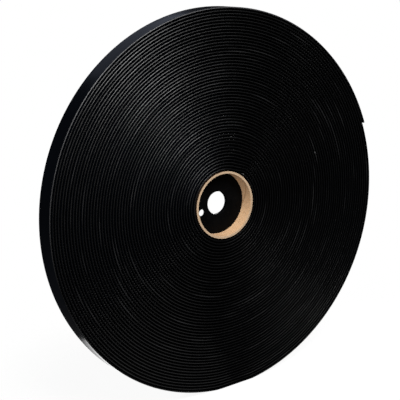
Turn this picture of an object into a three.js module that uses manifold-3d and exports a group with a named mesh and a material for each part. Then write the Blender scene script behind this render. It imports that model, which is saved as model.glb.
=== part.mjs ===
// Roll of mushroom fastener tape, standing on its rim. A plastic strip with mushroom-headed stems
// on one face, and foam adhesive under a release liner on the other, is wound with its mushrooms
// inwards on a paperboard core, and a moulded hub plug is pressed into the core's back end.
// Millimetres, +Z up, the roll's axis along Y, its front towards -Y.
import * as THREE from 'three';
import { mergeVertices } from 'three/addons/utils/BufferGeometryUtils.js';
import Module from 'manifold-3d';

const TAU = 2 * Math.PI;
const WELD = 1e-4; // corners nearer than this are one
const TAPE_COLOR = 0x1c1d1f;
const LINER_COLOR = 0x14161c;
const degrees = THREE.MathUtils.degToRad;

// Paperboard core
const CORE_BORE = 76.2;
const CORE_WALL = 2.9;
const CORE_PROUD = 0.3; // how far each end stands out of the tape's edges
const CORE_SIDES = 48;

// Tape, layer by layer from the mushrooms out to the liner
const TAPE_WIDTH = 25.4;
const MUSHROOM_HEIGHT = 1.4;
const BACKING = 0.6;
const ADHESIVE = 0.7;
const LINER = 0.2;
const LAYER_GAP = 0.1; // between bonded layers
const TURN_GAP = 0.5; // between the mushrooms and the liner of the turn below

// Winding
const ROLL_DIAMETER = 468.8; // across the free end, for about 45.7 m of tape
const FREE_END = degrees(16); // counter-clockwise from the right, seen from the front
const WOUND_LOOPS = 24;
const LOOP_STEPS = 36;
const FOOT_DEPTH = 0.5; // how far the roll is pressed flat where it stands
const SEAT_GAP = 0.3; // between pieces that touch
const GROOVE_TURNS = 3; // inner turns for each groove that marks the gaps between them
const GROOVE_WIDTH = 2.6;
const GROOVE_DEPTH = 2.4;

// Free end of the tape
const TAIL_LENGTH = 75;
const TAIL_STEPS = 6;
const TAB_LENGTH = 36; // stretch of liner that peels off the adhesive
const TAB_STEPS = 3;

// Mushrooms of the free end, in staggered rows, drawn coarser than the real ones
const STEM_PITCH = 4.2; // along a row; the rows lie half of this apart
const STEM_DIAMETER = 0.9;
const HEAD_DIAMETER = 1.7;
const HEAD_THICKNESS = 0.5;
const STEM_SIDES = 4;
const STEM_ROOT = 0.3; // how deep a stem is rooted in the backing

// Hub plug
const PLUG_DEPTH = 9.5; // from its web's front to the core's back end
const PLUG_WEB = 3;
const PLUG_SKIRT = 2.4;
const PLUG_CHAMFER = 0.8;
const ARBOR_HOLE = 28;
const ARBOR_COLLAR = 3;
const COLLAR_HEIGHT = 2; // behind the web
const DRIVE_HOLE = 8.5;
const DRIVE_RADIUS = 24.4; // from the roll's axis
const DRIVE_ANGLE = degrees(199);
const DRIVE_SIDES = 24;
const RIB_COUNT = 6;
const RIB_THICKNESS = 2;
const RIB_SETBACK = 0.4; // below the collar's back edge

const coreLength = TAPE_WIDTH + 2 * CORE_PROUD;
const coreBack = coreLength / 2;
const coreRadius = CORE_BORE / 2 + CORE_WALL;
const stripThickness = MUSHROOM_HEIGHT + BACKING + LAYER_GAP + ADHESIVE;
const turnPitch = stripThickness + LAYER_GAP + LINER + TURN_GAP;
const rollRadius = ROLL_DIAMETER / 2;
const stepAngle = TAU / LOOP_STEPS;
const bottom = degrees(270);
const tailRoot = FREE_END + TAIL_LENGTH / rollRadius;
const tabRoot = FREE_END + TAB_LENGTH / rollRadius;
const seatAngle = SEAT_GAP / rollRadius;

// Outer face of the wound tape at an angle that runs on, turn by turn, from the free end inwards
const turnRadius = (angle) => rollRadius - (turnPitch * (angle - FREE_END)) / TAU;
const axisHeight = turnRadius(bottom) * Math.cos(stepAngle / 2) - FOOT_DEPTH;

// The same face, pressed flat where the roll stands
function linerFace(angle) {
  const down = -Math.sin(angle);
  return down > 0 ? Math.min(turnRadius(angle), axisHeight / down) : turnRadius(angle);
}
const linerUnderside = (angle) => linerFace(angle) - LINER;
const adhesiveFace = (angle) => linerUnderside(angle) - LAYER_GAP;
const adhesiveUnderside = (angle) => adhesiveFace(angle) - ADHESIVE;
const backingFace = (angle) => adhesiveUnderside(angle) - LAYER_GAP;
const backingUnderside = (angle) => backingFace(angle) - BACKING;
const mushroomTops = (angle) => turnRadius(angle) - (turnPitch - TURN_GAP);

const wasm = await Module();
wasm.setup();

function solidOf(geometry) {
  const bare = geometry.clone();
  bare.deleteAttribute('normal');
  bare.deleteAttribute('uv');
  const merged = mergeVertices(bare, WELD);
  const vertProperties = new Float32Array(merged.attributes.position.array);
  const triVerts = new Uint32Array(merged.index.array);
  return new wasm.Manifold(new wasm.Mesh({ numProp: 3, vertProperties, triVerts }));
}

function geometryOf(solid) {
  const mesh = solid.getMesh();
  const geometry = new THREE.BufferGeometry();
  geometry.setAttribute('position', new THREE.BufferAttribute(mesh.vertProperties, 3));
  geometry.setIndex(new THREE.BufferAttribute(mesh.triVerts, 1));
  return geometry;
}

const roll = new THREE.Group();
roll.position.z = axisHeight;

function addPiece(name, geometry, color, roughness) {
  const material = new THREE.MeshStandardMaterial({ color, roughness, metalness: 0 });
  const mesh = new THREE.Mesh(geometry, material);
  mesh.name = name;
  roll.add(mesh);
}

// A point of the roll, with the axis as origin
const place = (angle, radius, y) => new THREE.Vector3(
  radius * Math.cos(angle),
  y,
  radius * Math.sin(angle),
);

// Angles of a wound stretch: its two ends, and between them the steps of the whole winding,
// which put a flat facet at the bottom of every loop
function windingAngles(from, to) {
  const firstStep = bottom + stepAngle / 2;
  const angles = [from];
  const start = Math.floor((from - firstStep) / stepAngle) + 1;
  for (let angle = firstStep + start * stepAngle; angle < to; angle += stepAngle) {
    angles.push(angle);
  }
  return [...angles, to];
}

function evenAngles(from, to, steps) {
  return Array.from({ length: steps + 1 }, (_, step) => from + ((to - from) * step) / steps);
}

// A band along the winding, with the section of [radius, y] corners that it has at each angle
function windingBand(angles, sectionAt) {
  const sections = angles.map(sectionAt);
  const sides = sections[0].length;
  const corners = sections.flatMap((section, step) => (
    section.map(([radius, y]) => place(angles[step], radius, y))
  ));
  const last = corners.length - sides;
  const triangles = [];
  for (let side = 1; side < sides - 1; side += 1) {
    triangles.push(0, side + 1, side, last, last + side, last + side + 1);
  }
  for (let ring = 0; ring < last; ring += sides) {
    for (let side = 0; side < sides; side += 1) {
      const here = ring + side;
      const beside = ring + ((side + 1) % sides);
      triangles.push(here, beside, beside + sides, here, beside + sides, here + sides);
    }
  }
  const geometry = new THREE.BufferGeometry().setFromPoints(corners);
  geometry.setIndex(triangles);
  return geometry;
}

// A strip as wide as the tape, between two faces that follow the roll
const edge = TAPE_WIDTH / 2;
const stripBand = (angles, underside, face) => windingBand(angles, (angle) => [
  [underside(angle), -edge],
  [face(angle), -edge],
  [face(angle), edge],
  [underside(angle), edge],
]);

// Core tube
const coreProfile = [
  new THREE.Vector2(coreRadius, -coreBack),
  new THREE.Vector2(coreRadius, coreBack),
  new THREE.Vector2(CORE_BORE / 2, coreBack),
  new THREE.Vector2(CORE_BORE / 2, -coreBack),
  new THREE.Vector2(coreRadius, -coreBack),
];
addPiece('core_tube', new THREE.LatheGeometry(coreProfile, CORE_SIDES), 0xc8a67a, 0.85);

// Hub plug: a cup with a low collar round the arbor hole, ribs on its back and a drive-pin hole
const skirtRadius = CORE_BORE / 2 - SEAT_GAP;
const skirtInside = skirtRadius - PLUG_SKIRT;
const arborRadius = ARBOR_HOLE / 2;
const collarRadius = arborRadius + ARBOR_COLLAR;
const webFront = coreBack - PLUG_DEPTH;
const webBack = webFront + PLUG_WEB;
const collarBack = webBack + COLLAR_HEIGHT;
const plugProfile = [
  new THREE.Vector2(skirtRadius - PLUG_CHAMFER, webFront),
  new THREE.Vector2(skirtRadius, webFront + PLUG_CHAMFER),
  new THREE.Vector2(skirtRadius, coreBack),
  new THREE.Vector2(skirtInside, coreBack),
  new THREE.Vector2(skirtInside, webBack),
  new THREE.Vector2(collarRadius, webBack),
  new THREE.Vector2(collarRadius, collarBack),
  new THREE.Vector2(arborRadius, collarBack),
  new THREE.Vector2(arborRadius, webFront),
  new THREE.Vector2(skirtRadius - PLUG_CHAMFER, webFront),
];
let plug = solidOf(new THREE.LatheGeometry(plugProfile, CORE_SIDES));
const ribBack = collarBack - RIB_SETBACK;
const ribFront = webBack - PLUG_WEB / 2;
const ribInside = collarRadius - ARBOR_COLLAR / 2;
const ribOutside = skirtInside + PLUG_SKIRT / 2;
for (let rib = 0; rib < RIB_COUNT; rib += 1) {
  const angle = DRIVE_ANGLE + (TAU * (rib + 0.5)) / RIB_COUNT;
  const bar = new THREE.BoxGeometry(ribOutside - ribInside, ribBack - ribFront, RIB_THICKNESS);
  bar.translate((ribOutside + ribInside) / 2, (ribBack + ribFront) / 2, 0);
  bar.rotateY(-angle);
  plug = plug.add(solidOf(bar));
}
const drivePlace = place(DRIVE_ANGLE, DRIVE_RADIUS, 0);
const driveBore = new THREE.CylinderGeometry(
  DRIVE_HOLE / 2,
  DRIVE_HOLE / 2,
  coreLength,
  DRIVE_SIDES,
);
driveBore.translate(drivePlace.x, webFront, drivePlace.z);
plug = plug.subtract(solidOf(driveBore));
addPiece('hub_plug', geometryOf(plug), 0x17181a, 0.55);

// Wound tape: the outer loops are one unbroken strip, which butts against the step of the pack
// of inner turns that it runs on from. Under the outermost turn the strip carries its liner.
const windingStart = tailRoot + seatAngle;
const linerEnd = tailRoot + TAU;
const windingEnd = tailRoot + WOUND_LOOPS * TAU;
const wrappedFace = (angle) => (angle > linerEnd ? linerFace(angle) : adhesiveFace(angle));
const stripAngles = [
  ...windingAngles(windingStart, linerEnd),
  ...windingAngles(linerEnd + seatAngle, windingEnd - seatAngle),
];
addPiece('wound_tape_outer', stripBand(stripAngles, mushroomTops, wrappedFace), TAPE_COLOR, 0.6);

const packOutline = windingAngles(windingEnd, windingEnd + TAU).map((angle) => {
  const corner = place(angle, wrappedFace(angle), 0);
  return new THREE.Vector2(corner.x, corner.z);
});
const packShape = new THREE.Shape(packOutline);
const packBore = evenAngles(0, TAU, CORE_SIDES).slice(1).map((angle) => {
  const corner = place(angle, coreRadius + SEAT_GAP, 0);
  return new THREE.Vector2(corner.x, corner.z);
});
packShape.holes.push(new THREE.Path(packBore));
const pack = new THREE.ExtrudeGeometry(packShape, { depth: TAPE_WIDTH, bevelEnabled: false });
pack.rotateX(Math.PI / 2);
pack.translate(0, edge, 0);

// Grooves of the pack: one V-shaped spiral in each face
const groovePitch = GROOVE_TURNS * turnPitch;
const grooveOutside = turnRadius(windingEnd + TAU) - groovePitch / 2;
const grooveTurns = (grooveOutside - groovePitch / 2 - coreRadius) / groovePitch;
const grooveRadius = (angle) => grooveOutside - (groovePitch * (angle - windingEnd)) / TAU;
const grooveAngles = windingAngles(windingEnd, windingEnd + grooveTurns * TAU);
const groove = (side) => windingBand(grooveAngles, (angle) => [
  [grooveRadius(angle) + (side * GROOVE_WIDTH) / 2, side * edge],
  [grooveRadius(angle) + (side * GROOVE_WIDTH) / 2, side * coreBack],
  [grooveRadius(angle) - (side * GROOVE_WIDTH) / 2, side * coreBack],
  [grooveRadius(angle) - (side * GROOVE_WIDTH) / 2, side * edge],
  [grooveRadius(angle), side * (edge - GROOVE_DEPTH)],
]);
const groovedPack = solidOf(pack).subtract(solidOf(groove(-1))).subtract(solidOf(groove(1)));
addPiece('wound_tape_inner', geometryOf(groovedPack), TAPE_COLOR, 0.6);

// Release liner round the outermost turn
const linerAngles = windingAngles(windingStart, linerEnd - seatAngle);
addPiece('release_liner', stripBand(linerAngles, linerUnderside, linerFace), LINER_COLOR, 0.2);

// Free end: fastener strip with its mushrooms, adhesive, and the liner with its peeling tab
const tailAngles = evenAngles(FREE_END, tailRoot, TAIL_STEPS);
let fastener = solidOf(stripBand(tailAngles, backingUnderside, backingFace));
const stemTop = MUSHROOM_HEIGHT - HEAD_THICKNESS;
const mushroomProfile = [
  new THREE.Vector2(0, -STEM_ROOT),
  new THREE.Vector2(STEM_DIAMETER / 2, -STEM_ROOT),
  new THREE.Vector2(STEM_DIAMETER / 2, stemTop),
  new THREE.Vector2(HEAD_DIAMETER / 2, stemTop),
  new THREE.Vector2(0, MUSHROOM_HEIGHT),
];
const mushroom = new THREE.LatheGeometry(mushroomProfile, STEM_SIDES);
const stemsInRow = Math.floor(TAIL_LENGTH / STEM_PITCH);
const rowGap = STEM_PITCH / 2;
const rowCount = Math.floor((TAPE_WIDTH - HEAD_DIAMETER) / rowGap) + 1;
for (let row = 0; row < rowCount; row += 1) {
  const across = (row - (rowCount - 1) / 2) * rowGap;
  const stagger = ((row % 2) - 0.5) * rowGap;
  for (let step = 0; step < stemsInRow; step += 1) {
    const along = TAIL_LENGTH / 2 + (step - (stemsInRow - 1) / 2) * STEM_PITCH + stagger;
    const angle = FREE_END + along / rollRadius;
    const base = place(angle, backingUnderside(angle), across);
    const inwards = place(angle, -1, 0);
    const turn = new THREE.Quaternion().setFromUnitVectors(new THREE.Vector3(0, 1, 0), inwards);
    const stem = mushroom.clone().applyQuaternion(turn);
    stem.translate(base.x, base.y, base.z);
    fastener = fastener.add(solidOf(stem));
  }
}
addPiece('tail_fastener_strip', geometryOf(fastener), TAPE_COLOR, 0.5);
addPiece('tail_adhesive', stripBand(tailAngles, adhesiveUnderside, adhesiveFace), 0x101113, 0.8);

const fixedAngles = evenAngles(tabRoot + seatAngle, tailRoot, TAIL_STEPS - TAB_STEPS);
addPiece('tail_liner', stripBand(fixedAngles, linerUnderside, linerFace), LINER_COLOR, 0.2);
const tabAngles = evenAngles(FREE_END, tabRoot, TAB_STEPS);
addPiece('liner_tab', stripBand(tabAngles, linerUnderside, linerFace), LINER_COLOR, 0.2);

// Least gap of the wound strip to itself, between each point under a loop and the loop inside it
let leastGap = Infinity;
for (const angle of stripAngles.filter((each) => each + TAU < windingEnd)) {
  const under = place(angle, mushroomTops(angle), 0);
  for (const inner of windingAngles(angle + TAU - stepAngle, angle + TAU + stepAngle)) {
    leastGap = Math.min(leastGap, under.distanceTo(place(inner, wrappedFace(inner), 0)));
  }
}
console.log(`least gap between the wound loops: ${leastGap.toFixed(2)} mm`);

export default roll;
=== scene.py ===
"""A roll of mushroom fastener tape, dressed around its packed construction model."""

import math

import bmesh
import bpy
import numpy as np
from mathutils import Matrix, Vector


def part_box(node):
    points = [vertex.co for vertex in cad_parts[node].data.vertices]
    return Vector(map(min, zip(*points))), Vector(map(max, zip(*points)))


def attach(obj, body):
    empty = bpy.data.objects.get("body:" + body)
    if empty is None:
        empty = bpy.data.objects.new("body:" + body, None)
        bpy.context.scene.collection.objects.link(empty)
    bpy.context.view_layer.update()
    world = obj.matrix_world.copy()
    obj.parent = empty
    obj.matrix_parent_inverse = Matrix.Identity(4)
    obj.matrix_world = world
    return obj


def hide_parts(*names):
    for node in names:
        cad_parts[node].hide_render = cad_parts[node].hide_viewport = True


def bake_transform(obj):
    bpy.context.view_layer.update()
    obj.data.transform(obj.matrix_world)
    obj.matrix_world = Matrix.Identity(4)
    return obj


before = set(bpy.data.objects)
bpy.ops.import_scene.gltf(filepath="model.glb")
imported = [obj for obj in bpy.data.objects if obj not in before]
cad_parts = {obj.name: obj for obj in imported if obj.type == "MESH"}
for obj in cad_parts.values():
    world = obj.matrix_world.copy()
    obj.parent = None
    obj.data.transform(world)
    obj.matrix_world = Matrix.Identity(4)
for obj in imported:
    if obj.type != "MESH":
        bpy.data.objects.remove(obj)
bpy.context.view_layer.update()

# Core: a spiral-wound tube of brown kraft paperboard, cut to the tape's width with a knife.
# The plies are glued at a slant, so their seams run round the bore as a slow screw,
# and the cut ends show the plies as fine rings.
MM = 0.001
CORE_BORE = 76.2 * MM
CORE_EDGE_ROUND = 0.3 * MM
CORE_SPIN_STEPS = 160
ROUND_SEGMENTS = 3
SHARP_EDGE = math.radians(40)
WELD_REACH = 0.001 * MM
PLY_THICKNESS = 0.55 * MM
PLY_RING_FAINT = 0.15
PLY_RING_STRONG = 0.45
PLY_SEAM_LEAD = 125 * MM
PLY_SEAM_WIDTH = 1.4 * MM
PLY_SEAM_SHARE = 0.75
FIBRE_LENGTH = 3.636 * MM
FIBRE_WIDTH = 0.909 * MM
FIBRE_RELIEF = 0.12 * MM
FLECK_SPACING = 1.6 * MM
FLECK_START = 0.62
FLECK_FULL = 0.74
CUT_END_START = 0.4 * MM
CUT_END_FULL = 0.1 * MM
GAP_SHADE_START = 0.12 * MM
GAP_SHADE_FULL = 0.03 * MM
NOISE_LOW = 0.3
NOISE_HIGH = 0.7
KRAFT_FACE = "#c0956b"
KRAFT_FLECK = "#8a6646"
KRAFT_PALE = "#d5b490"
KRAFT_CUT_END = "#94836f"
KRAFT_GAP_SHADE = "#2a1c12"

core_low, core_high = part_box("core_tube")
axis = Vector((0, 0, (core_low.z + core_high.z) / 2))
core_radius = (core_high.z - core_low.z) / 2


def linear(colour):
    """An sRGB hex colour as linear red, green, blue and alpha."""
    shares = [int(colour[i:i + 2], 16) / 255 for i in (1, 3, 5)]
    return [s / 12.92 if s <= 0.04045 else ((s + 0.055) / 1.055) ** 2.4 for s in shares] + [1]


def add(tree, kind, inputs, **settings):
    """Adds a shader node, and links or sets its inputs, by name or, where names repeat, by number."""
    made = tree.nodes.new("ShaderNode" + kind)
    for name, value in settings.items():
        setattr(made, name, value)
    for socket, value in inputs.items():
        if isinstance(value, bpy.types.NodeSocket):
            tree.links.new(value, made.inputs[socket])
        else:
            made.inputs[socket].default_value = value
    return made


def new_material(name, finish):
    """A material with one surface of a plain finish, and its node tree and shader."""
    material = bpy.data.materials.new(name)
    material.use_nodes = True
    tree = material.node_tree
    tree.nodes.clear()
    shader = add(tree, "BsdfPrincipled", finish)
    add(tree, "OutputMaterial", {"Surface": shader.outputs["BSDF"]})
    return material, tree, shader


def revolve(outline, steps):
    """A closed outline of (radius, y) points, spun round the roll's axis."""
    bm = bmesh.new()
    corners = [bm.verts.new((radius, y, axis.z)) for radius, y in outline]
    edges = [bm.edges.new(pair) for pair in zip(corners, corners[1:] + corners[:1])]
    bmesh.ops.spin(bm, geom=corners + edges, cent=axis, axis=(0, 1, 0),
                   angle=math.tau, steps=steps, use_merge=True)
    bmesh.ops.remove_doubles(bm, verts=bm.verts, dist=WELD_REACH)
    bmesh.ops.recalc_face_normals(bm, faces=bm.faces)
    return bm


def round_edges(bm, width):
    """Bevels every sharp edge to a round one."""
    sharp = [edge for edge in bm.edges if edge.calc_face_angle(0) > SHARP_EDGE]
    bmesh.ops.bevel(bm, geom=sharp, offset=width, affect="EDGES", segments=ROUND_SEGMENTS,
                    profile=0.5, material=-1)


def make_piece(name, bm, material, slot=None):
    """An object from a bmesh, smooth but for its sharp edges, in one finish."""
    mesh = bpy.data.meshes.new(name)
    bm.to_mesh(mesh)
    bm.free()
    mesh.shade_smooth()
    mesh.set_sharp_from_angle(angle=SHARP_EDGE)
    mesh.materials.append(material)
    piece = bpy.data.objects.new(name, mesh)
    bpy.context.scene.collection.objects.link(piece)
    return piece if slot else piece


# Kraft paperboard, glued in plies: matt and warm, with long fibres, flecks and a faint seam.
kraft, tree, shader = new_material("kraft_paperboard", {"Roughness": 0.85, "Specular IOR Level": 0.25})
place = add(tree, "TexCoord", {}).outputs["Object"]
centred = add(tree, "VectorMath", {0: place, 1: axis}, operation="SUBTRACT").outputs[0]
apart = add(tree, "SeparateXYZ", {0: centred}).outputs
angle = add(tree, "Math", {0: apart["Z"], 1: apart["X"]}, operation="ARCTAN2").outputs[0]
flattened = add(tree, "VectorMath", {0: centred, 1: (1, 0, 1)}, operation="MULTIPLY").outputs[0]
radius = add(tree, "VectorMath", {0: flattened}, operation="LENGTH").outputs["Value"]
unrolled = add(tree, "CombineXYZ", {"X": angle, "Y": apart["Y"], "Z": radius}).outputs[0]
fibre_counts = (core_radius / FIBRE_LENGTH, 1 / FIBRE_WIDTH, 1 / FIBRE_WIDTH)
fibre_place = add(tree, "VectorMath", {0: unrolled, 1: fibre_counts}, operation="MULTIPLY").outputs[0]
fibre = add(tree, "TexNoise", {"Vector": fibre_place, "Scale": 1, "Detail": 5,
                               "Roughness": 0.65}).outputs["Fac"]
paleness = add(tree, "MapRange", {"Value": fibre, "From Min": NOISE_LOW, "From Max": NOISE_HIGH}).outputs[0]
fibred = add(tree, "Mix", {"Factor": paleness, 6: linear(KRAFT_FACE), 7: linear(KRAFT_PALE)},
             data_type="RGBA").outputs[2]
fleck = add(tree, "TexNoise", {"Vector": place, "Scale": 1 / FLECK_SPACING, "Detail": 3}).outputs["Fac"]
speck = add(tree, "MapRange", {"Value": fleck, "From Min": FLECK_START, "From Max": FLECK_FULL}).outputs[0]
flecked = add(tree, "Mix", {"Factor": speck, 6: fibred, 7: linear(KRAFT_FLECK)},
              data_type="RGBA").outputs[2]

# The seam is where the screw's count of leads comes near a whole number.
turn_share = add(tree, "Math", {0: angle, 1: math.tau}, operation="DIVIDE").outputs[0]
screw = add(tree, "Math", {0: apart["Y"], 1: 1 / PLY_SEAM_LEAD, 2: turn_share},
            operation="MULTIPLY_ADD").outputs[0]
seam_gap = add(tree, "Math", {0: screw, 1: 0.5}, operation="PINGPONG").outputs[0]
seam = add(tree, "MapRange", {"Value": seam_gap, "From Min": 0, "From Max": PLY_SEAM_WIDTH / PLY_SEAM_LEAD,
                              "To Min": PLY_SEAM_SHARE, "To Max": 0}).outputs[0]
seamed = add(tree, "Mix", {"Factor": seam, 6: flecked, 7: linear(KRAFT_FLECK)},
             data_type="RGBA").outputs[2]

# The cut ends are greyer and ringed by the plies; painted shade darkens the outside where it meets the
# tape.
ply = add(tree, "Math", {0: radius, 1: math.tau / PLY_THICKNESS}, operation="MULTIPLY").outputs[0]
ply_wave = add(tree, "Math", {0: ply}, operation="SINE").outputs[0]
ply_ring = add(tree, "MapRange", {"Value": ply_wave, "From Min": -1, "From Max": 1,
                                  "To Min": PLY_RING_FAINT, "To Max": PLY_RING_STRONG}).outputs[0]
end_tone = add(tree, "Mix", {"Factor": ply_ring, 6: linear(KRAFT_CUT_END), 7: flecked},
               data_type="RGBA").outputs[2]
from_centre = add(tree, "Math", {0: apart["Y"]}, operation="ABSOLUTE").outputs[0]
cut_end = add(tree, "MapRange", {"Value": from_centre, "From Min": core_high.y - CUT_END_START,
                                 "From Max": core_high.y - CUT_END_FULL}).outputs[0]
bare = add(tree, "Mix", {"Factor": cut_end, 6: seamed, 7: end_tone}, data_type="RGBA").outputs[2]
# Painted shade: the core's outside goes dark brown in the gap next to the tape.
gap_shade = add(tree, "MapRange", {"Value": radius, "From Min": core_radius - GAP_SHADE_START,
                               "From Max": core_radius - GAP_SHADE_FULL}).outputs[0]
board = add(tree, "Mix", {"Factor": gap_shade, 6: bare, 7: linear(KRAFT_GAP_SHADE)},
            data_type="RGBA").outputs[2]
grain = add(tree, "Bump", {"Height": fibre, "Strength": 0.5, "Distance": FIBRE_RELIEF}).outputs[0]
tree.links.new(board, shader.inputs["Base Color"])
tree.links.new(grain, shader.inputs["Normal"])

core_bm = revolve([
    (CORE_BORE / 2, core_low.y),
    (core_radius, core_low.y),
    (core_radius, core_high.y),
    (CORE_BORE / 2, core_high.y),
], CORE_SPIN_STEPS)
core_tube = make_piece("core", core_bm, kraft, "kraft_board")
rounded = bmesh.new()
rounded.from_mesh(core_tube.data)
round_edges(rounded, CORE_EDGE_ROUND)
rounded.to_mesh(core_tube.data)
rounded.free()
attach(core_tube, "roll")
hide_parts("core_tube")

# Hub plug: a moulded black polystyrene disc, pressed into the core from the back.
# A skirt grips the bore, and the thin web carries the arbor hole in its low collar,
# a drive pin's hole beside it, and six low ribs from the collar to the skirt.
PLUG_WEB = 3 * MM
PLUG_SKIRT = 2.4 * MM
PLUG_CHAMFER = 0.8 * MM
PLUG_FILLET = 0.35 * MM
PLUG_SPIN_STEPS = 128
ARBOR_HOLE = 28 * MM
ARBOR_COLLAR = 3 * MM
COLLAR_HEIGHT = 2 * MM
DRIVE_HOLE = 8.5 * MM
DRIVE_RADIUS = 24.4 * MM
DRIVE_ANGLE = math.radians(199)
DRIVE_HOLE_SIDES = 48
RIB_COUNT = 6
RIB_THICKNESS = 2 * MM
RIB_SETBACK = 0.4 * MM
PLUG_BLACK = "#020202"
PLUG_WORN = "#050506"
PLUG_CLOUD = 9 * MM
SPARK_GRAIN = 0.5 * MM
SPARK_RELIEF = 0.05 * MM

plug_low, plug_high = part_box("hub_plug")
plug_radius = (plug_high.z - plug_low.z) / 2
web_back = plug_low.y + PLUG_WEB
collar_back = web_back + COLLAR_HEIGHT
collar_radius = ARBOR_HOLE / 2 + ARBOR_COLLAR


def polystyrene(name, smoothest, dullest, gloss):
    """Polystyrene from a steel tool: black, with the tool's fine grain and clouds of duller gloss.

    The grain is drawn coarser than a real tool's, so that it shows.
    """
    material, tree, shader = new_material(name, {"IOR": 1.59, "Specular IOR Level": gloss})
    place = add(tree, "TexCoord", {}).outputs["Object"]
    spark = add(tree, "TexNoise", {"Vector": place, "Scale": 1 / SPARK_GRAIN, "Detail": 2}).outputs["Fac"]
    cloud = add(tree, "TexNoise", {"Vector": place, "Scale": 1 / PLUG_CLOUD, "Detail": 4}).outputs["Fac"]
    tone = add(tree, "Mix", {"Factor": cloud, 6: linear(PLUG_BLACK), 7: linear(PLUG_WORN)},
               data_type="RGBA").outputs[2]
    dull = add(tree, "MapRange", {"Value": cloud, "From Min": NOISE_LOW, "From Max": NOISE_HIGH,
                                  "To Min": smoothest, "To Max": dullest}).outputs[0]
    grain = add(tree, "Bump", {"Height": spark, "Strength": 0.35, "Distance": SPARK_RELIEF}).outputs[0]
    tree.links.new(tone, shader.inputs["Base Color"])
    tree.links.new(dull, shader.inputs["Roughness"])
    tree.links.new(grain, shader.inputs["Normal"])
    return material


# The web's front has almost no gloss, as painted shade inside the core; its ribbed back has a polished
# gloss.
shaded_front = polystyrene("black_polystyrene_painted_shade", smoothest=0.42, dullest=0.58, gloss=0.03)
polished = polystyrene("polished_black_polystyrene", smoothest=0.22, dullest=0.34, gloss=0.5)

plug_bm = revolve([
    (ARBOR_HOLE / 2, plug_low.y),
    (plug_radius - PLUG_CHAMFER, plug_low.y),
    (plug_radius, plug_low.y + PLUG_CHAMFER),
    (plug_radius, plug_high.y),
    (plug_radius - PLUG_SKIRT, plug_high.y),
    (plug_radius - PLUG_SKIRT, web_back),
    (collar_radius, web_back),
    (collar_radius, collar_back),
    (ARBOR_HOLE / 2, collar_back),
], PLUG_SPIN_STEPS)
round_edges(plug_bm, PLUG_FILLET)
plug = make_piece("plug", plug_bm, shaded_front, "plug_plastic")


def combine(piece, bm, operation):
    """Joins a closed shape to a piece, or cuts it from the piece."""
    tool = make_piece("tool", bm, piece.data.materials[0])
    change = piece.modifiers.new("change", "BOOLEAN")
    change.operation = operation
    change.object = tool
    ready = piece.evaluated_get(bpy.context.evaluated_depsgraph_get())
    mesh = bpy.data.meshes.new_from_object(ready)
    piece.modifiers.clear()
    piece.data = mesh
    bpy.data.objects.remove(tool)


# Each rib runs into the collar, the skirt and the web, so that they join.
rib_inner = collar_radius - ARBOR_COLLAR / 2
rib_outer = plug_radius - PLUG_SKIRT / 2
rib_front = web_back - PLUG_WEB / 2
rib_back = collar_back - RIB_SETBACK
for k in range(RIB_COUNT):
    rib = bmesh.new()
    bmesh.ops.create_cube(rib, size=1)
    bmesh.ops.scale(rib, verts=rib.verts, vec=(rib_outer - rib_inner, rib_back - rib_front, RIB_THICKNESS))
    bmesh.ops.translate(rib, verts=rib.verts, vec=((rib_outer + rib_inner) / 2,
                                                   (rib_back + rib_front) / 2, 0))
    rib_angle = DRIVE_ANGLE + math.tau * (k + 0.5) / RIB_COUNT
    rib_turn = Matrix.Translation(axis) @ Matrix.Rotation(-rib_angle, 4, "Y")
    bmesh.ops.transform(rib, matrix=rib_turn, verts=rib.verts)
    combine(plug, rib, "UNION")

drive_pin = bmesh.new()
drive_place = Vector((DRIVE_RADIUS * math.cos(DRIVE_ANGLE), (plug_low.y + plug_high.y) / 2,
                      axis.z + DRIVE_RADIUS * math.sin(DRIVE_ANGLE)))
bmesh.ops.create_cone(drive_pin, cap_ends=True, segments=DRIVE_HOLE_SIDES, radius1=DRIVE_HOLE / 2,
                      radius2=DRIVE_HOLE / 2, depth=plug_high.y - plug_low.y + 2 * PLUG_WEB,
                      matrix=Matrix.Translation(drive_place) @ Matrix.Rotation(math.pi / 2, 4, "X"))
combine(plug, drive_pin, "DIFFERENCE")
plug.data.shade_smooth()
plug.data.set_sharp_from_angle(angle=SHARP_EDGE)
plug.data.materials.append(polished)
for face in plug.data.polygons:
    if face.center.y > web_back - PLUG_FILLET:
        face.material_index = 1
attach(plug, "roll")
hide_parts("hub_plug")

# Wound tape: one long black strip, a polypropylene backing with foam adhesive on its outer face.
# It is extruded flat, slit to width and wound under tension, adhesive outwards,
# so each turn's slit edge stands as a thin round line on both faces of the roll.
ROLL_RADIUS = 234.4 * MM
TURN_PITCH = 3.6 * MM
OUTER_TURNS = 24
FREE_END = math.radians(16)
INNER_END = math.radians(48)
TAIL_LENGTH = 75 * MM
LINER_THICKNESS = 0.15 * MM
FOAM_THICKNESS = 0.65 * MM
BACKING_THICKNESS = 0.6 * MM
LAYER_SEAT = 0.02 * MM
EDGE_CROWN = 0.35 * MM
CREST_SKEW = 1.8
CROWN_POINTS = 6
STEM_ZONE = 5.2 * MM
CLIMB_SHARE = 0.04
SETTLE_TURNS = 12
FOOT_REACH = 20 * MM
WANDER = 0.14 * MM
WANDER_WAVES = ((0.41, 0), (1.13, 1.7))
MERGE_REACH = 0.01 * MM
TAPE_BLACK = "#020202"
TAPE_GREY = "#060606"
FOAM_BLACK = "#030303"
PALE_EDGE_GREY = "#3c3c3d"
STREAK_LENGTH = 24 * MM
STREAK_WIDTH = 1.2 * MM
STREAK_HEIGHT = 0.3 * MM
SLIT_SMOOTHEST = 0.3
SLIT_DULLEST = 0.44
FOAM_CELL = 0.35 * MM
FOAM_RELIEF = 0.05 * MM
FOAM_BLUR = 0.05 * MM
EDGE_WAVE = 90 * MM
EDGE_LEAN = 0.2 * MM
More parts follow.
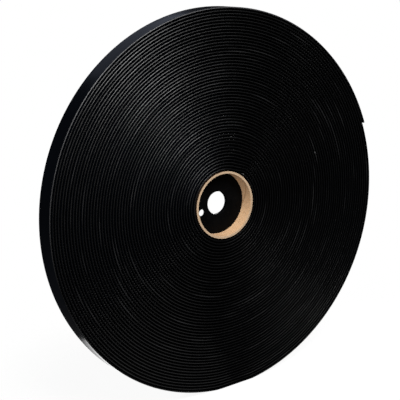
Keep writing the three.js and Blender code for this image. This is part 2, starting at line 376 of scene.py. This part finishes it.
PALE_STRETCH_MIDDLE = 420 * MM
PALE_STRETCH_FULL = 100 * MM
PALE_STRETCH_REACH = 300 * MM
SCUFF_LENGTH = 90 * MM
SCUFF_SHARE = 0.25
SCUFF_START = 0.57
SCUFF_FULL = 0.7
SHADE_BLACK = "#000000"
SHADE_GREY = "#020202"
MOULD_CLOUD = 6 * MM

# The strip's steps, in metres, are exact in binary, so that the repeated tiles meet.
OUTER_STEP = 1 / 128
INNER_STEP = 1 / 256

tape_low, tape_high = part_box("wound_tape_outer")
half_width = (tape_high.y - tape_low.y) / 2
foam_top = -LINER_THICKNESS
foam_back = foam_top - FOAM_THICKNESS
backing_face = foam_back - BACKING_THICKNESS
first_radius = core_radius + TURN_PITCH
turns = math.ceil((ROLL_RADIUS - first_radius) / TURN_PITCH) + (INNER_END - FREE_END) / math.tau
end_radius = ROLL_RADIUS - turns * TURN_PITCH
roll_end = math.pi * (ROLL_RADIUS ** 2 - end_radius ** 2) / TURN_PITCH


def turned(along):
    """The angle wound up by so much tape, from its free end."""
    return (ROLL_RADIUS - np.sqrt(ROLL_RADIUS ** 2 - TURN_PITCH * along / np.pi)) * math.tau / TURN_PITCH


def wound(flat):
    """Places on the flat tape, along, across and up from its outer face, as places on the roll."""
    along, across, up = flat.T
    wind = turned(along)
    angle = FREE_END + wind
    # The turns next to the core are round, each with a short climb on to the next.
    from_core = np.maximum(0, turns - wind / math.tau)
    share = np.mod(from_core, 1)
    climbed = np.minimum(share, (1 - share) * (1 - CLIMB_SHARE) / CLIMB_SHARE)
    round_turn = end_radius - first_radius + TURN_PITCH * climbed
    settled = np.clip((from_core - 1) / SETTLE_TURNS, 0, 1)
    radius = ROLL_RADIUS - TURN_PITCH * wind / math.tau - round_turn * (1 - settled) + up
    # The roll's foot is pressed flat on the ground, and less so the further in a turn lies.
    outside = ROLL_RADIUS - TURN_PITCH * np.mod(wind, math.tau) / math.tau
    pressed = np.maximum(0, -axis.z - outside * np.sin(angle))
    lift = pressed * np.exp((radius - outside) / FOOT_REACH)
    # The turns wander sideways, but the free end lies true.
    waves = sum(np.sin(rate * wind + phase) for rate, phase in WANDER_WAVES)
    sway = WANDER * waves * np.minimum(1, wind / math.pi)
    return np.stack([radius * np.cos(angle), across + sway, axis.z + radius * np.sin(angle) + lift], 1)


def wind_on(name, tile, start, step, count, material, slot):
    """Repeats a flat tile along the tape, closes its ends and winds it on to the roll.

    Each point keeps its place on the flat tape as an attribute, which the finishes follow.
    """
    piece = make_piece(name, tile, material, slot)
    repeat = piece.modifiers.new("repeat", "ARRAY")
    repeat.use_relative_offset = False
    repeat.use_constant_offset = True
    repeat.constant_offset_displace = (step, 0, 0)
    repeat.count = count
    repeat.use_merge_vertices = True
    repeat.merge_threshold = MERGE_REACH
    ready = piece.evaluated_get(bpy.context.evaluated_depsgraph_get())
    mesh = bpy.data.meshes.new_from_object(ready)
    piece.modifiers.clear()
    bm = bmesh.new()
    bm.from_mesh(mesh)
    bmesh.ops.holes_fill(bm, edges=[edge for edge in bm.edges if edge.is_boundary])
    bmesh.ops.recalc_face_normals(bm, faces=bm.faces)
    bm.to_mesh(mesh)
    bm.free()
    flat = np.empty(3 * len(mesh.vertices), np.float32)
    mesh.vertices.foreach_get("co", flat)
    flat = flat.reshape(-1, 3).astype(float) + (start, 0, 0)
    mesh.vertices.foreach_set("co", wound(flat).astype(np.float32).ravel())
    mesh.attributes.new("tape", "FLOAT_VECTOR", "POINT").data.foreach_set(
        "vector", flat.astype(np.float32).ravel())
    mesh.shade_smooth()
    piece.data = mesh
    return piece


def crown(up):
    """How far the slit edge stands back from the tape's full width, at a height on it."""
    share = (foam_top - up) / (foam_top - backing_face)
    return EDGE_CROWN * (1 - math.sin(math.pi * share ** CREST_SKEW))


def slit_edge(top, bottom):
    """Points down one slit edge, as (across, up), between two heights."""
    heights = [top + (bottom - top) * k / (CROWN_POINTS - 1) for k in range(CROWN_POINTS)]
    return [(half_width - crown(up), up) for up in heights]


def tape_tile(half_outline, step):
    """One step of the tape: half an outline from top to bottom, mirrored and drawn out."""
    outline = half_outline + [(-across, up) for across, up in reversed(half_outline)]
    bm = bmesh.new()
    corners = [bm.verts.new((0, across, up)) for across, up in outline]
    edges = [bm.edges.new(pair) for pair in zip(corners, corners[1:] + corners[:1])]
    drawn = bmesh.ops.extrude_edge_only(bm, edges=edges)["geom"]
    ends = [v for v in drawn if isinstance(v, bmesh.types.BMVert)]
    bmesh.ops.translate(bm, verts=ends, vec=(step, 0, 0))
    return bm


# Polypropylene and closed-cell foam, slit by a blade: black, with dull streaks along the cut.
# The foam's cells are drawn coarser than real ones, so that they show.
slit, tree, shader = new_material("slit_tape_edge", {"IOR": 1.49, "Specular IOR Level": 0.35})
flat_place = add(tree, "Attribute", {}, attribute_name="tape").outputs["Vector"]
apart = add(tree, "SeparateXYZ", {0: flat_place}).outputs
streak_counts = (1 / STREAK_LENGTH, 1 / STREAK_WIDTH, 1 / STREAK_HEIGHT)
streak_place = add(tree, "VectorMath", {0: flat_place, 1: streak_counts}, operation="MULTIPLY").outputs[0]
streak = add(tree, "TexNoise", {"Vector": streak_place, "Scale": 1, "Detail": 3}).outputs["Fac"]
dull = add(tree, "MapRange", {"Value": streak, "From Min": NOISE_LOW, "From Max": NOISE_HIGH,
                              "To Min": SLIT_SMOOTHEST, "To Max": SLIT_DULLEST}).outputs[0]
plastic = add(tree, "Mix", {"Factor": streak, 6: linear(TAPE_BLACK), 7: linear(TAPE_GREY)},
              data_type="RGBA").outputs[2]
is_foam = add(tree, "MapRange", {"Value": apart["Z"], "From Min": foam_back - FOAM_BLUR,
                                 "From Max": foam_back + FOAM_BLUR}).outputs[0]
cut_tone = add(tree, "Mix", {"Factor": is_foam, 6: plastic, 7: linear(FOAM_BLACK)},
               data_type="RGBA").outputs[2]
cell = add(tree, "TexVoronoi", {"Vector": flat_place, "Scale": 1 / FOAM_CELL}).outputs["Distance"]
pores = add(tree, "Math", {0: cell, 1: is_foam}, operation="MULTIPLY").outputs[0]

# The edge leans a little to one side and the other as it goes round.
wave_counts = (1 / EDGE_WAVE, 1 / half_width, 1 / (foam_top - backing_face))
wave_place = add(tree, "VectorMath", {0: flat_place, 1: wave_counts}, operation="MULTIPLY").outputs[0]
wave = add(tree, "TexNoise", {"Vector": wave_place, "Scale": 1, "Detail": 1}).outputs["Fac"]
lean = add(tree, "Bump", {"Height": wave, "Strength": 1, "Distance": EDGE_LEAN}).outputs[0]
relief = add(tree, "Bump", {"Height": pores, "Strength": 0.3, "Distance": FOAM_RELIEF,
                            "Normal": lean}).outputs[0]

# The edge is coloured lighter grey along one stretch of the outermost turn, and in short scuffs elsewhere.
past_pale_stretch = add(tree, "Math", {0: apart["X"], 1: PALE_STRETCH_MIDDLE}, operation="SUBTRACT").outputs[0]
from_pale_stretch = add(tree, "Math", {0: past_pale_stretch}, operation="ABSOLUTE").outputs[0]
pale_stretch = add(tree, "MapRange", {"Value": from_pale_stretch, "From Min": PALE_STRETCH_FULL, "From Max": PALE_STRETCH_REACH,
                                "To Min": 1, "To Max": 0}).outputs[0]
scuff_counts = (1 / SCUFF_LENGTH, 1 / half_width, 0)
scuff_place = add(tree, "VectorMath", {0: flat_place, 1: scuff_counts}, operation="MULTIPLY").outputs[0]
scuff = add(tree, "TexNoise", {"Vector": scuff_place, "Scale": 1, "Detail": 1}).outputs["Fac"]
scuffed = add(tree, "MapRange", {"Value": scuff, "From Min": SCUFF_START, "From Max": SCUFF_FULL,
                                 "To Min": 0, "To Max": SCUFF_SHARE}).outputs[0]
paling = add(tree, "Math", {0: pale_stretch, 1: scuffed}, operation="MAXIMUM").outputs[0]
edge_tone = add(tree, "Mix", {"Factor": paling, 6: cut_tone, 7: linear(PALE_EDGE_GREY)},
                data_type="RGBA").outputs[2]
tree.links.new(edge_tone, shader.inputs["Base Color"])
tree.links.new(dull, shader.inputs["Roughness"])
tree.links.new(relief, shader.inputs["Normal"])

# Polypropylene, moulded: made deep black and low in gloss as painted shade, its tone changing faintly from
# stem to stem.
shaded_moulding, tree, shader = new_material("polypropylene_painted_shade",
                                     {"Roughness": 0.38, "IOR": 1.49, "Specular IOR Level": 0.12})
flat_place = add(tree, "Attribute", {}, attribute_name="tape").outputs["Vector"]
cloud = add(tree, "TexNoise", {"Vector": flat_place, "Scale": 1 / MOULD_CLOUD, "Detail": 3}).outputs["Fac"]
tone = add(tree, "Mix", {"Factor": cloud, 6: linear(SHADE_BLACK), 7: linear(SHADE_GREY)},
           data_type="RGBA").outputs[2]
tree.links.new(tone, shader.inputs["Base Color"])

# Deeper in than the rows of stems that show, the strip is drawn solid down to the turn below.
strip_outline = slit_edge(foam_top, backing_face) + [(half_width - STEM_ZONE, backing_face),
                                                     (half_width - STEM_ZONE, LAYER_SEAT - TURN_PITCH)]


def strip_tile(step):
    """One step of the strip: its slit edges in the first finish, its moulded face in the second."""
    tile = tape_tile(strip_outline, step)
    for face in tile.faces:
        if abs(face.calc_center_median().y) < half_width - EDGE_CROWN:
            face.material_index = 1
    return tile


outer_radius = ROLL_RADIUS - OUTER_TURNS * TURN_PITCH
outer_length = math.pi * (ROLL_RADIUS ** 2 - outer_radius ** 2) / TURN_PITCH
outer_count = round((outer_length - TAIL_LENGTH) / OUTER_STEP)
inner_start = TAIL_LENGTH + outer_count * OUTER_STEP
inner_count = round((roll_end - inner_start) / INNER_STEP)
outer_strip = wind_on("wound_strip_outer", strip_tile(OUTER_STEP), TAIL_LENGTH,
                      OUTER_STEP, outer_count, slit, "tape_plastic")
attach(outer_strip, "roll")
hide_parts("wound_tape_outer")
inner_strip = wind_on("wound_strip_inner", strip_tile(INNER_STEP), inner_start,
                      INNER_STEP, inner_count, slit, "tape_plastic")
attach(inner_strip, "roll")
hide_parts("wound_tape_inner")
# The strips' moulded faces take the deep black finish that paints the shade between the turns.
for strip in (outer_strip, inner_strip):
    strip.data.materials.append(shaded_moulding)

# Mushrooms: short stems with flat domed heads, moulded in one with the backing.
# They stand in staggered rows all over its inner face, heads down on the turn below,
# and only the two rows nearest each slit edge can be seen between the turns.
STEM_PITCH = 3.45 * MM
STEM_DIAMETER = 0.9 * MM
STEM_ROOT = 0.2 * MM
HEAD_DIAMETER = 1.9 * MM
HEAD_TIP = 1.1 * MM
HEAD_BRIM = 0.15 * MM
HEAD_DOME = 0.45 * MM
MUSHROOM_TIPS = 3.45 * MM
FIRST_ROW = 2.6 * MM
FIRST_ROW_SIDES = 4
SECOND_ROW_SIDES = 3
MUSHROOM_STRETCHES = 8

stem_top = backing_face + STEM_ROOT
stem_foot = HEAD_BRIM + HEAD_DOME - MUSHROOM_TIPS


def add_mushroom(bm, along, across, sides):
    """One stem and its flat domed head, hanging from the backing's inner face."""
    stem = bmesh.ops.create_cone(
        bm, cap_ends=True, segments=sides, radius1=STEM_DIAMETER / 2, radius2=STEM_DIAMETER / 2,
        depth=stem_top - stem_foot, matrix=Matrix.Translation((along, across, (stem_top + stem_foot) / 2)))
    caps = [face for corner in stem["verts"] for face in corner.link_faces]
    tip = min(caps, key=lambda face: face.calc_center_median().z)
    centred = Matrix.Translation((-along, -across, 0))
    brim = (HEAD_DIAMETER / STEM_DIAMETER, HEAD_BRIM)
    dome = (HEAD_TIP / HEAD_DIAMETER, HEAD_DOME)
    for spread, drop in (brim, dome):
        tip = bmesh.ops.extrude_discrete_faces(bm, faces=[tip])["faces"][0]
        bmesh.ops.scale(bm, vec=(spread, spread, 1), space=centred, verts=tip.verts)
        bmesh.ops.translate(bm, vec=(0, 0, -drop), verts=tip.verts)


mushroom_count = int((roll_end - TAIL_LENGTH) / STEM_PITCH / MUSHROOM_STRETCHES)
first_row = half_width - FIRST_ROW
second_row = first_row - STEM_PITCH / 2
for k in range(MUSHROOM_STRETCHES):
    tile = bmesh.new()
    for side in (-1, 1):
        add_mushroom(tile, STEM_PITCH / 4, side * first_row, FIRST_ROW_SIDES)
        add_mushroom(tile, 3 * STEM_PITCH / 4, side * second_row, SECOND_ROW_SIDES)
    mushrooms = wind_on(f"mushrooms_{k + 1}", tile, TAIL_LENGTH + k * mushroom_count * STEM_PITCH,
                        STEM_PITCH, mushroom_count, shaded_moulding, "tape_plastic")
    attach(mushrooms, "roll")

# Release liner: a thin black film, silicone-coated, that keeps the adhesive off the next turn.
# It runs the whole length between the turns, and its outermost turn is the roll's rim.
LINER_INSET = 0.12 * MM
LINER_BLACK = "#030406"
LINER_NAVY = "#06080d"
PAINTED_BLUE_SHEEN = "#d8e2ff"
FILM_SMOOTHEST = 0.14
FILM_DULLEST = 0.26
RIPPLE_LENGTH = 70 * MM
RIPPLE_WIDTH = 14 * MM
RIPPLE_RELIEF = 0.3 * MM

# Polyethylene film, blown and coated: near black with a navy cast, glossy, with long soft ripples.
# Painted reflection: a pale blue tint on the film's gloss.
film, tree, shader = new_material("coated_black_film", {"IOR": 1.4, "Specular IOR Level": 0.12,
                                                        "Specular Tint": linear(PAINTED_BLUE_SHEEN)})
flat_place = add(tree, "Attribute", {}, attribute_name="tape").outputs["Vector"]
ripple_counts = (1 / RIPPLE_LENGTH, 1 / RIPPLE_WIDTH, 0)
ripple_place = add(tree, "VectorMath", {0: flat_place, 1: ripple_counts}, operation="MULTIPLY").outputs[0]
ripple = add(tree, "TexNoise", {"Vector": ripple_place, "Scale": 1, "Detail": 1}).outputs["Fac"]
tone = add(tree, "Mix", {"Factor": ripple, 6: linear(LINER_BLACK), 7: linear(LINER_NAVY)},
           data_type="RGBA").outputs[2]
dull = add(tree, "MapRange", {"Value": ripple, "From Min": NOISE_LOW, "From Max": NOISE_HIGH,
                              "To Min": FILM_SMOOTHEST, "To Max": FILM_DULLEST}).outputs[0]
relief = add(tree, "Bump", {"Height": ripple, "Strength": 0.15, "Distance": RIPPLE_RELIEF}).outputs[0]
tree.links.new(tone, shader.inputs["Base Color"])
tree.links.new(dull, shader.inputs["Roughness"])
tree.links.new(relief, shader.inputs["Normal"])

liner_outline = [(half_width - LINER_INSET, 0), (half_width - LINER_INSET, -LINER_THICKNESS)]
liner_count = round((roll_end - TAIL_LENGTH) / OUTER_STEP)
liner = wind_on("wound_liner", tape_tile(liner_outline, OUTER_STEP), TAIL_LENGTH, OUTER_STEP,
                liner_count, film, "liner_film")
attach(liner, "roll")
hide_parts("release_liner")

# Tail: the tape's free end, which lifts off the roll to be cut to length.
# It is the same strip, adhesive and liner, with its whole field of mushrooms under it, lying wound on the
# roll.
TAIL_STEP = 2.5 * MM
TAIL_STEM_SIDES = 8

tail_count = round(TAIL_LENGTH / TAIL_STEP)


def add_tail(name, tile, count, step, material, slot, *nodes):
    """One layer of the tail, wound on to the roll up to the free end."""
    layer = wind_on(name, tile, 0, step, count, material, slot)
    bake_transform(layer)
    if nodes:
        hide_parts(*nodes)


add_tail("tail_backing", tape_tile(slit_edge(foam_back, backing_face), TAIL_STEP), tail_count,
         TAIL_STEP, slit, "tape_plastic", "tail_fastener_strip")
add_tail("tail_foam", tape_tile(slit_edge(foam_top, foam_back), TAIL_STEP), tail_count,
         TAIL_STEP, slit, "foam_adhesive", "tail_adhesive")
rows = int(first_row / (STEM_PITCH / 2))
field = bmesh.new()
for row in range(-rows, rows + 1):
    stagger = STEM_PITCH / 4 if (row + rows) % 2 == 0 else 3 * STEM_PITCH / 4
    add_mushroom(field, stagger, first_row * row / rows, TAIL_STEM_SIDES)
add_tail("tail_mushrooms", field, int(TAIL_LENGTH / STEM_PITCH), STEM_PITCH, shaded_moulding, "tape_plastic")

# Liner tab: the end of the release liner on the tail, the same coated film as round the roll.
# Only the adhesive's tack holds it, so it peels back before use; here it lies wound on the tail, end to end
# with the liner that stays on it.
TAB_LENGTH = 36 * MM

tab_count = round(TAB_LENGTH / TAIL_STEP)
tab_length = tab_count * TAIL_STEP
tail_liner = wind_on("tail_liner_film", tape_tile(liner_outline, TAIL_STEP), tab_length, TAIL_STEP,
                     tail_count - tab_count, film, "liner_film")
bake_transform(tail_liner)
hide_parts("tail_liner")
tab = wind_on("liner_tab_film", tape_tile(liner_outline, TAIL_STEP), 0, TAIL_STEP, tab_count, film,
              "liner_film")
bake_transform(tab)
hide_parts("liner_tab")
for piece in (liner, tail_liner, tab):
    piece.data.set_sharp_from_angle(angle=SHARP_EDGE)

# Studio: a round sheet of white paper on the ground, in a dark room whose walls the camera doesn't see.
# A large softbox stands above the camera's side, with a fill before and behind that give no gloss.
# A weak blue backdrop, a low lamp behind and two lit cards on the ground show only as gloss.
SHEET_RADIUS = 0.38
SHEET_FADE = 0.19
SHEET_WHITE = "#f2f2f2"
SHEET_BOUNCE = "#585858"
SHEET_GLOW = 1.03
SHEET_GLOW_SHARE = 0.88
ROOM_RADIUS = 2.4
ROOM_HEIGHT = 1.9
ROOM_GREY = "#2a2c31"
FRONT_GLOW = 0.11
BACK_GLOW = 0.012
ROUND_SIDES = 96
AMBIENT = 0.22
WHITE = "#ffffff"
SKY_BLUE = "#dde6ff"

# Each card's name, glow, place, size and turn.
CARDS = (("back_card", 2.3, (-0.145, 0.103, MM), (0.13, 0.07, 1), math.radians(147)),
         ("front_card", 0.36, (-0.1, -0.07, MM), (0.2, 0.11, 1), 0))

# Each lamp's name, place, width and height, watts, colour, and which of its ray switches are off.
LAMPS = (("key", (-0.1, -1.15, 1.35), (0.9, 0.6), 36, WHITE, ()),
         ("backdrop", (0.25, 1.3, 1.1), (1.1, 0.5), 0.65, SKY_BLUE, ("visible_diffuse",)),
         ("back_key", (0.75, 1, 0.2), (0.5, 0.3), 7, WHITE, ("visible_camera", "visible_diffuse")),
         ("fill", (-0.9, -0.65, 0.45), (0.5, 0.5), 7, WHITE, ("visible_glossy",)),
         ("back_fill", (0.6, 1.2, 1), (0.8, 0.5), 12, WHITE, ("visible_glossy",)))

# The surround is plain white to the eye and, where the room doesn't hide it, in gloss. As light it is weak.
world = bpy.data.worlds.new("studio")
bpy.context.scene.world = world
world.use_nodes = True
tree = world.node_tree
tree.nodes.clear()
path = add(tree, "LightPath", {}).outputs
mirrored = add(tree, "Math", {0: path["Is Glossy Ray"], 1: path["Is Transmission Ray"]},
               operation="MAXIMUM").outputs[0]
seen = add(tree, "Math", {0: path["Is Camera Ray"], 1: mirrored}, operation="MAXIMUM").outputs[0]
level = add(tree, "MapRange", {"Value": seen, "To Min": AMBIENT, "To Max": 1}).outputs[0]
sky = add(tree, "Background", {"Color": linear(WHITE), "Strength": level}).outputs[0]
add(tree, "OutputWorld", {"Surface": sky})

# Drawing paper, uncoated: flat white to the eye, greyer in what it bounces, and fading out at its rim.
paper, tree, shader = new_material("white_paper_sheet", {"Roughness": 0.9, "Specular IOR Level": 0})
place = add(tree, "TexCoord", {}).outputs["Object"]
distance = add(tree, "VectorMath", {0: place}, operation="LENGTH").outputs["Value"]
fade = add(tree, "MapRange", {"Value": distance, "From Min": SHEET_FADE, "From Max": SHEET_RADIUS},
           interpolation_type="SMOOTHSTEP").outputs[0]
is_camera = add(tree, "LightPath", {}).outputs["Is Camera Ray"]
sheet_tone = add(tree, "Mix", {"Factor": is_camera, 6: linear(SHEET_BOUNCE), 7: linear(SHEET_WHITE)},
                 data_type="RGBA").outputs[2]
glow_share = add(tree, "Math", {0: is_camera, 1: SHEET_GLOW_SHARE}, operation="MULTIPLY").outputs[0]
glow = add(tree, "Emission", {"Color": linear(WHITE), "Strength": SHEET_GLOW}).outputs[0]
clear = add(tree, "BsdfTransparent", {}).outputs[0]
lit = add(tree, "MixShader", {0: glow_share, 1: shader.outputs[0], 2: glow}).outputs[0]
sheet = add(tree, "MixShader", {0: fade, 1: lit, 2: clear}).outputs[0]
tree.links.new(sheet_tone, shader.inputs["Base Color"])
tree.links.new(sheet, tree.nodes["Material Output"].inputs["Surface"])

ground = bmesh.new()
bmesh.ops.create_circle(ground, cap_ends=True, segments=ROUND_SIDES, radius=SHEET_RADIUS)
floor = make_piece("floor", ground, paper)

# Cotton cloth, dyed dark grey: dull, with a faint glow for gloss to show, stronger at the camera's side.
cloth, tree, shader = new_material("dark_room_cloth", {"Base Color": linear(ROOM_GREY), "Roughness": 1,
                                                       "Specular IOR Level": 0,
                                                       "Emission Color": linear(WHITE)})
place = add(tree, "TexCoord", {}).outputs["Object"]
depth = add(tree, "SeparateXYZ", {0: place}).outputs["Y"]
glow = add(tree, "MapRange", {"Value": depth, "From Min": -ROOM_RADIUS, "From Max": 0,
                              "To Min": FRONT_GLOW, "To Max": BACK_GLOW}).outputs[0]
tree.links.new(glow, shader.inputs["Emission Strength"])
walls = bmesh.new()
bmesh.ops.create_cone(walls, cap_ends=True, segments=ROUND_SIDES, radius1=ROOM_RADIUS, radius2=ROOM_RADIUS,
                      depth=ROOM_HEIGHT, matrix=Matrix.Translation((0, 0, ROOM_HEIGHT / 2 - MM)))
room = make_piece("dark_room", walls, cloth)
room.visible_camera = False

# White card, lit from within: an even glow, for the rim's gloss alone.
for name, glow, place, size, turn in CARDS:
    lit_card, tree, shader = new_material(name, {"Base Color": linear(SHEET_BOUNCE),
                                                 "Emission Color": linear(WHITE),
                                                 "Emission Strength": glow})
    sheet = bmesh.new()
    bmesh.ops.create_grid(sheet, x_segments=1, y_segments=1, size=0.5)
    bmesh.ops.scale(sheet, verts=sheet.verts, vec=size)
    bmesh.ops.rotate(sheet, verts=sheet.verts, matrix=Matrix.Rotation(turn, 3, "Z"))
    bmesh.ops.translate(sheet, verts=sheet.verts, vec=place)
    card = make_piece(name, sheet, lit_card)
    card.visible_camera = False
    card.visible_diffuse = False
    card.visible_shadow = False

for name, place, size, watts, colour, switches_off in LAMPS:
    lamp = bpy.data.lights.new(name, "AREA")
    lamp.shape = "RECTANGLE"
    lamp.size, lamp.size_y = size
    lamp.energy = watts
    lamp.color = linear(colour)[:3]
    softbox = bpy.data.objects.new(name, lamp)
    softbox.location = place
    softbox.rotation_euler = (axis - Vector(place)).to_track_quat("-Z", "Y").to_euler()
    for switch in switches_off:
        setattr(softbox, switch, False)
    bpy.context.scene.collection.objects.link(softbox)

# Camera: a long lens on the photograph's line of sight, with the roll's open face to its right.
# It is fitted to the roll's outline, the core's mouth and the step at the tape's free end.
CAMERA_FROM_AXIS = (-0.73626, -1.08333, 0.34445)
CAMERA_TURN = [math.radians(angle) for angle in (75.4673, 3.7732, -34.1938)]
FOCAL_LENGTH = 101.29
SENSOR_WIDTH = 36

lens = bpy.data.cameras.new("camera")
lens.lens = FOCAL_LENGTH
lens.sensor_width = SENSOR_WIDTH
camera = bpy.data.objects.new("camera", lens)
camera.location = axis + Vector(CAMERA_FROM_AXIS)
camera.rotation_euler = CAMERA_TURN
bpy.context.scene.collection.objects.link(camera)
bpy.context.scene.camera = camera
bpy.context.scene.view_settings.view_transform = "Standard"
